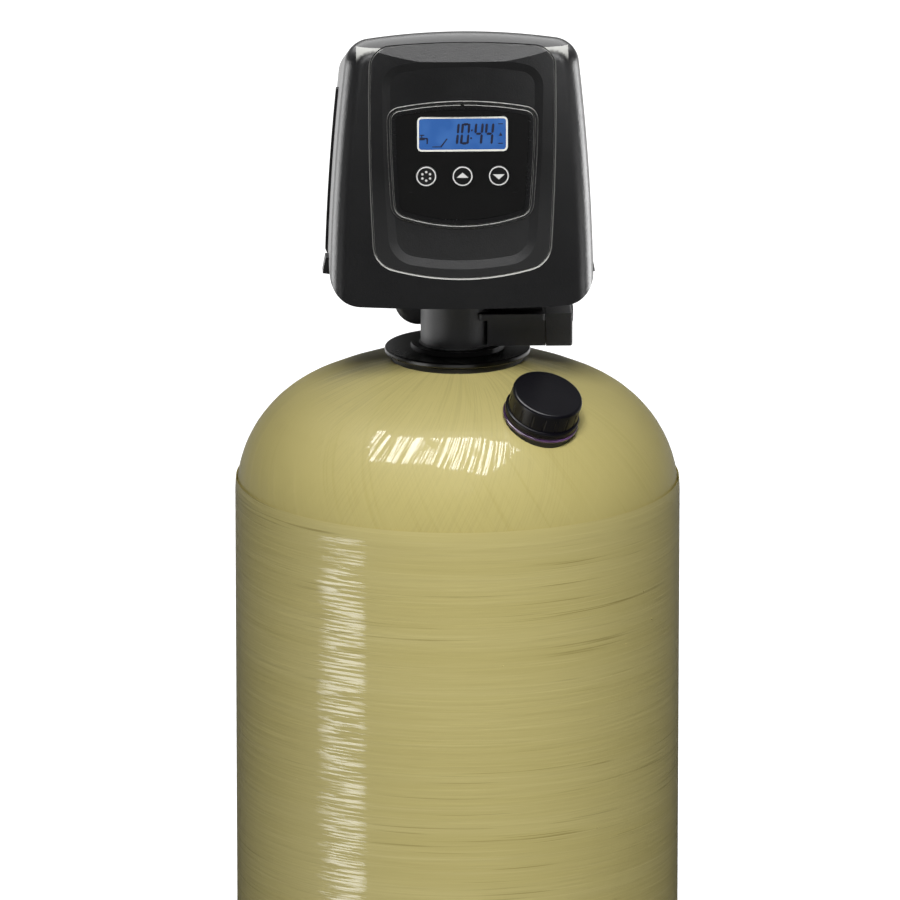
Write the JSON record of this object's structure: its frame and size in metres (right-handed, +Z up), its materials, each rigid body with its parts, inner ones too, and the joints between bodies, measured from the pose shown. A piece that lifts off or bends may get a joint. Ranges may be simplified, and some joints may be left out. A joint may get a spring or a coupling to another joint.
{
  "type": "acid neutralizer filter",
  "caption": "Tall wound fibreglass pressure tank on a round foot, with a screw plug in its shoulder and a black backwash control head with a lit display on its neck.",
  "frame": {"origin": "centre of the foot's underside, where the tank stands on the floor", "axes": "+Z up along the tank's axis, the display faces -Y, +X to the right as seen from the front"},
  "size_m": [0.316, 0.316, 1.5714],
  "materials": {
    "foot_black": "satin",
    "liner_white": "matte",
    "fibreglass": "gloss",
    "fibreglass_hoop": "gloss",
    "insert_black": "matte",
    "pipe_white": "satin",
    "strainer_white": "matte",
    "gravel": "matte",
    "calcite": "matte",
    "seal_gloss": "gloss",
    "washer_black": "satin",
    "plug_black": "satin",
    "flange_black": "satin",
    "oring": "matte",
    "retainer_white": "matte",
    "valve_black": "matte",
    "piston_ptfe": "satin",
    "steel_rod": "polished",
    "link_nylon": "matte",
    "screw_steel": "satin",
    "fitting_black": "satin",
    "cover_black": "fine texture",
    "panel_black": "fine texture",
    "latch_black": "satin",
    "rear_black": "fine texture",
    "gland_rubber": "matte",
    "bezel_black": "satin",
    "label_gloss": "gloss",
    "lcd_blue": "gloss",
    "key_black": "satin",
    "housing_grey": "matte",
    "board_green": "satin",
    "gear_nylon": "matte",
    "pinion_nylon": "matte",
    "motor_can": "satin",
    "switch_black": "matte"
  },
  "bodies": {
    "tank": {"tank_base": "foot_black", "tank_liner": "liner_white", "helical_winding": "fibreglass", "hoop_winding": "fibreglass_hoop", "neck_insert": "insert_black", "fill_port_insert": "insert_black", "riser_tube": "pipe_white", "lower_distributor": "strainer_white", "upper_basket": "strainer_white", "gravel_bed": "gravel", "calcite_bed": "calcite", "tank_adapter": "flange_black", "riser_oring": "oring", "oring_retainer": "retainer_white", "tank_oring": "oring", "valve_body": "valve_black", "valve_seals": "oring", "seal_spacers": "retainer_white", "end_plug": "retainer_white", "injector_body": "valve_black", "injector_cap": "valve_black", "injector_screws": "screw_steel", "blank_plug": "valve_black", "drain_fitting": "fitting_black", "drain_washer": "oring", "drain_clip": "screw_steel", "rear_cover": "rear_black", "cord_gland": "gland_rubber", "rear_screws": "screw_steel", "display_bezel": "bezel_black", "label_panel": "label_gloss", "lcd_glass": "lcd_blue", "timer_housing": "housing_grey", "timer_screws": "screw_steel", "circuit_board": "board_green", "motor": "motor_can", "motor_screws": "screw_steel", "spindle_clip": "screw_steel", "back_plate": "housing_grey", "mount_screws": "screw_steel", "microswitches": "switch_black", "switch_bracket": "housing_grey"},
    "cover": {"cover": "cover_black", "front_panel": "panel_black"},
    "latch_left": {"latch_left": "latch_black"},
    "latch_right": {"latch_right": "latch_black"},
    "button_set": {"button_set": "key_black"},
    "button_up": {"button_up": "key_black"},
    "button_down": {"button_down": "key_black"},
    "drive_gear": {"drive_gear": "gear_nylon"},
    "motor_pinion": {"motor_pinion": "pinion_nylon"},
    "piston": {"piston": "piston_ptfe", "piston_rod": "steel_rod", "piston_link": "link_nylon"},
    "fill_seal": {"fill_seal": "seal_gloss"},
    "plug_washer": {"plug_washer": "washer_black"},
    "fill_plug": {"fill_plug": "plug_black"}
  },
  "joints": [
    {"name": "cover_slide", "type": "slide", "parent": "tank", "child": "cover", "axis": [0, -1, 0], "range_m": [0, 0.16]},
    {"name": "latch_left_press", "type": "slide", "parent": "cover", "child": "latch_left", "axis": [1, 0, 0], "range_m": [0, 0.0024], "stiffness_N_per_m": 800, "springref_m": -0.001},
    {"name": "latch_right_press", "type": "slide", "parent": "cover", "child": "latch_right", "axis": [-1, 0, 0], "range_m": [0, 0.0024], "stiffness_N_per_m": 800, "springref_m": -0.001},
    {"name": "button_set_press", "type": "slide", "parent": "tank", "child": "button_set", "axis": [0, 1, 0], "range_m": [0, 0.0005], "stiffness_N_per_m": 1500, "springref_m": -0.0005},
    {"name": "button_up_press", "type": "slide", "parent": "tank", "child": "button_up", "axis": [0, 1, 0], "range_m": [0, 0.0005], "stiffness_N_per_m": 1500, "springref_m": -0.0005},
    {"name": "button_down_press", "type": "slide", "parent": "tank", "child": "button_down", "axis": [0, 1, 0], "range_m": [0, 0.0005], "stiffness_N_per_m": 1500, "springref_m": -0.0005},
    {"name": "drive_gear_turn", "type": "hinge", "parent": "tank", "child": "drive_gear", "pos_m": [0, 0.009, 1.46411], "axis": [0, 1, 0], "continuous": true},
    {"name": "motor_pinion_turn", "type": "hinge", "parent": "tank", "child": "motor_pinion", "pos_m": [0.02652, 0.009, 1.49063], "axis": [0, 1, 0], "continuous": true},
    {"name": "piston_slide", "type": "slide", "parent": "tank", "child": "piston", "axis": [0, 0, 1], "range_m": [0, 0.024]},
    {"name": "plug_lift", "type": "slide", "parent": "tank", "child": "fill_seal", "axis": [0.2286, -0.4073, 0.8842], "range_m": [0, 0.04]},
    {"name": "plug_rise", "type": "slide", "parent": "fill_seal", "child": "plug_washer", "axis": [0.2286, -0.4073, 0.8842], "range_m": [0, 0.0162]},
    {"name": "plug_turn", "type": "hinge", "parent": "plug_washer", "child": "fill_plug", "pos_m": [0.05271, -0.09392, 1.30116], "axis": [0.2286, -0.4073, 0.8842], "range_deg": [0, 1440]}
  ],
  "couplings": [
    {"joint": "motor_pinion_turn", "follows": "drive_gear_turn", "ratio": -4},
    {"joint": "plug_rise", "follows": "plug_turn", "m_per_rad": 0.00063662}
  ]
}
